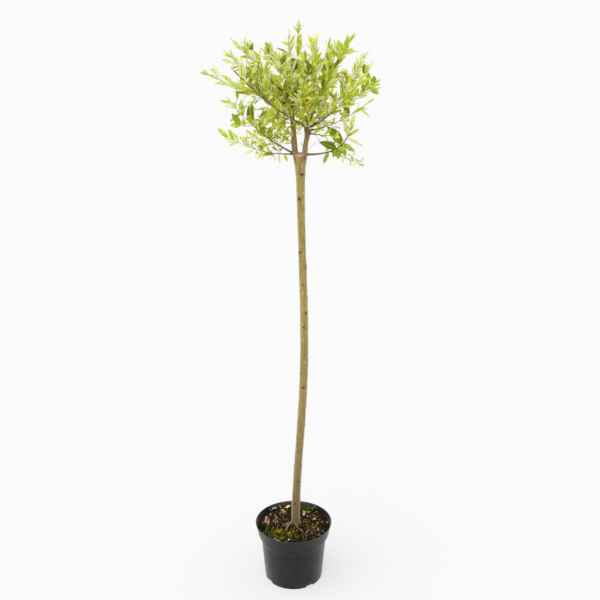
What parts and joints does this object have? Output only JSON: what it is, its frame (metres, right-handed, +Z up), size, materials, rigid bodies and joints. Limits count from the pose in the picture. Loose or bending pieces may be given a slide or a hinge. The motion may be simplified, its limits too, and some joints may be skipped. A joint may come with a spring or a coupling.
{
  "type": "willow standard in a nursery pot",
  "caption": "Willow shrub grown as a small standard: a loose, feathery, unclipped crown of narrow pale leaves on a tall bare stem, rooted in a plain round black nursery pot.",
  "frame": {"origin": "centre of the pot's flat underside, on the surface it stands on", "axes": "+Z up the stem, +X to the right and -Y to the front of the plant as it is usually seen"},
  "size_m": [0.3884, 0.3115, 1.3377],
  "materials": {
    "pot_plastic": "matt black moulded plastic with a soft sheen",
    "peat": "moist dark peat with moss, fibres and dry leaves",
    "bark": "smooth olive-tan willow bark with scars",
    "young_bark": "smooth red-brown to olive young bark",
    "foliage": "thin pale yellow-green leaves"
  },
  "bodies": {
    "root": {"pot": "pot_plastic", "root_ball": "peat", "trunk": "bark", "leader_left": "bark", "leader_right": "bark", "bough_long_cut": "young_bark", "bough_low_left": "young_bark", "bough_droop_left": "young_bark", "bough_low_right": "young_bark", "bough_low_right_tip": "young_bark", "bough_droop_right": "young_bark", "bough_far_left": "young_bark", "bough_high_left": "young_bark", "bough_side_left": "young_bark", "bough_back_low": "young_bark", "bough_back_left": "young_bark", "bough_back_high": "young_bark", "bough_front_left": "young_bark", "bough_peak_left": "young_bark", "bough_peak": "young_bark", "bough_reach_right": "young_bark", "bough_inner_right": "young_bark", "bough_back_right": "young_bark", "bough_arch_right": "young_bark", "bough_far_right": "young_bark", "bough_side_right": "young_bark", "bough_high_right": "young_bark", "bough_bunch": "young_bark", "bough_crest": "young_bark", "bough_front_right": "young_bark", "foliage_heart": "foliage", "foliage_low_left": "foliage", "foliage_droop_left": "foliage", "foliage_low_right_tip": "foliage", "foliage_droop_right": "foliage", "foliage_far_left": "foliage", "foliage_high_left": "foliage", "foliage_side_left": "foliage", "foliage_back_low": "foliage", "foliage_back_left": "foliage", "foliage_back_high": "foliage", "foliage_front_left": "foliage", "foliage_peak_left": "foliage", "foliage_peak": "foliage", "foliage_reach_right": "foliage", "foliage_inner_right": "foliage", "foliage_back_right": "foliage", "foliage_arch_right": "foliage", "foliage_far_right": "foliage", "foliage_side_right": "foliage", "foliage_high_right": "foliage", "foliage_bunch": "foliage", "foliage_crest": "foliage", "foliage_front_right": "foliage", "foliage_peach_left": "foliage", "foliage_peach_right": "foliage", "foliage_long_cut_side": "foliage"}
  },
  "joints": []
}
